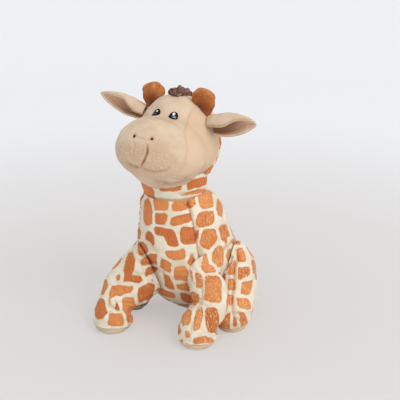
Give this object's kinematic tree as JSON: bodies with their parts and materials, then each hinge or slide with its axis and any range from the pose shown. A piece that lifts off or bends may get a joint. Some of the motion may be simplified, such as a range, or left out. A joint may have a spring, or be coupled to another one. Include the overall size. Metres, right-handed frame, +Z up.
{
  "type": "sitting plush giraffe",
  "caption": "Small sitting plush giraffe with spotted plush body, beige face and ears, rust horns, a brown mane, and head, ears, horns, legs and tail that flex at their seams",
  "frame": {"origin": "middle of the flat under the seat, on the surface that the toy sits on", "axes": "+Z up; the toy faces -Y; +X is the toy's own left"},
  "size_m": [0.1359, 0.1454, 0.1863],
  "materials": {
    "printed_plush": "cream short-pile plush printed with rounded orange patches",
    "beige_plush": "beige short-pile plush",
    "ear_lining": "pink-brown plush",
    "rust_plush": "rust-orange plush",
    "mane_plush": "brown shaggy plush",
    "polyester_filling": "loose white fibre",
    "pellet_cloth": "thin white cloth bag of plastic pellets",
    "eye_thread": "black satin stitch",
    "brown_thread": "dark brown thread"
  },
  "bodies": {
    "torso": {"seat_panel": "printed_plush", "belly_panel": "printed_plush", "side_panel_left": "printed_plush", "side_panel_right": "printed_plush", "pellet_bag": "pellet_cloth", "torso_stuffing": "polyester_filling"},
    "neck": {"neck_cover": "printed_plush", "neck_stuffing": "polyester_filling"},
    "head": {"face_cover": "beige_plush", "head_back_cover": "printed_plush", "head_stuffing": "polyester_filling", "eye_left": "eye_thread", "eye_right": "eye_thread", "nostril_left": "brown_thread", "nostril_right": "brown_thread", "mouth_stitch": "brown_thread", "mane_tuft": "mane_plush", "mane_strip": "mane_plush"},
    "tail": {"tail_cord": "printed_plush", "tail_tuft": "mane_plush"},
    "horn_left": {"horn_left": "rust_plush"},
    "ear_left": {"ear_left_outer": "beige_plush", "ear_left_lining": "ear_lining"},
    "foreleg_left": {"foreleg_left_cover": "printed_plush", "foreleg_left_stuffing": "polyester_filling", "foreleg_left_sole": "beige_plush"},
    "hindleg_left": {"hindleg_left_cover": "printed_plush", "hindleg_left_stuffing": "polyester_filling", "hindleg_left_sole": "beige_plush"},
    "horn_right": {"horn_right": "rust_plush"},
    "ear_right": {"ear_right_outer": "beige_plush", "ear_right_lining": "ear_lining"},
    "foreleg_right": {"foreleg_right_cover": "printed_plush", "foreleg_right_stuffing": "polyester_filling", "foreleg_right_sole": "beige_plush"},
    "hindleg_right": {"hindleg_right_cover": "printed_plush", "hindleg_right_stuffing": "polyester_filling", "hindleg_right_sole": "beige_plush"}
  },
  "joints": [
    {"name": "head_turn", "type": "hinge", "parent": "torso", "child": "neck", "pos_m": [0, -0.046, 0.106], "axis": [0, 0, 1], "range_deg": [-20, 20], "stiffness_Nm_per_rad": 0.2},
    {"name": "head_nod", "type": "hinge", "parent": "neck", "child": "head", "pos_m": [0, -0.046, 0.119], "axis": [0.9976, -0.0698, 0], "range_deg": [-12, 12], "stiffness_Nm_per_rad": 0.25},
    {"name": "tail_swing", "type": "hinge", "parent": "torso", "child": "tail", "pos_m": [0, 0.0324, 0.034], "axis": [0, 0.9506, 0.3103], "range_deg": [-30, 30], "stiffness_Nm_per_rad": 0.01},
    {"name": "horn_left_flex", "type": "hinge", "parent": "head", "child": "horn_left", "pos_m": [0.01971, -0.04186, 0.17025], "axis": [0.9976, -0.0698, 0], "range_deg": [-12, 12], "stiffness_Nm_per_rad": 0.01},
    {"name": "ear_left_flap", "type": "hinge", "parent": "head", "child": "ear_left", "pos_m": [0.0307, -0.04414, 0.161], "axis": [0.0698, 0.9976, 0], "range_deg": [-15, 15], "stiffness_Nm_per_rad": 0.01},
    {"name": "foreleg_left_swing", "type": "hinge", "parent": "torso", "child": "foreleg_left", "pos_m": [0.02877, -0.04992, 0.057], "axis": [0.8718, -0.4854, -0.0651], "range_deg": [-40, 0], "stiffness_Nm_per_rad": 0.06},
    {"name": "hindleg_left_swing", "type": "hinge", "parent": "torso", "child": "hindleg_left", "pos_m": [0.03666, -0.01592, 0.044], "axis": [1, 0, 0], "range_deg": [-5, 12], "stiffness_Nm_per_rad": 0.06},
    {"name": "horn_right_flex", "type": "hinge", "parent": "head", "child": "horn_right", "pos_m": [-0.01894, -0.03916, 0.17025], "axis": [0.9976, -0.0698, 0], "range_deg": [-12, 12], "stiffness_Nm_per_rad": 0.01},
    {"name": "ear_right_flap", "type": "hinge", "parent": "head", "child": "ear_right", "pos_m": [-0.03015, -0.03988, 0.161], "axis": [0.0698, 0.9976, 0], "range_deg": [-15, 15], "stiffness_Nm_per_rad": 0.01},
    {"name": "foreleg_right_swing", "type": "hinge", "parent": "torso", "child": "foreleg_right", "pos_m": [-0.02877, -0.04992, 0.057], "axis": [-0.8718, -0.4854, -0.0651], "range_deg": [0, 40], "stiffness_Nm_per_rad": 0.06},
    {"name": "hindleg_right_swing", "type": "hinge", "parent": "torso", "child": "hindleg_right", "pos_m": [-0.03666, -0.01592, 0.044], "axis": [-1, 0, 0], "range_deg": [-12, 5], "stiffness_Nm_per_rad": 0.06}
  ]
}
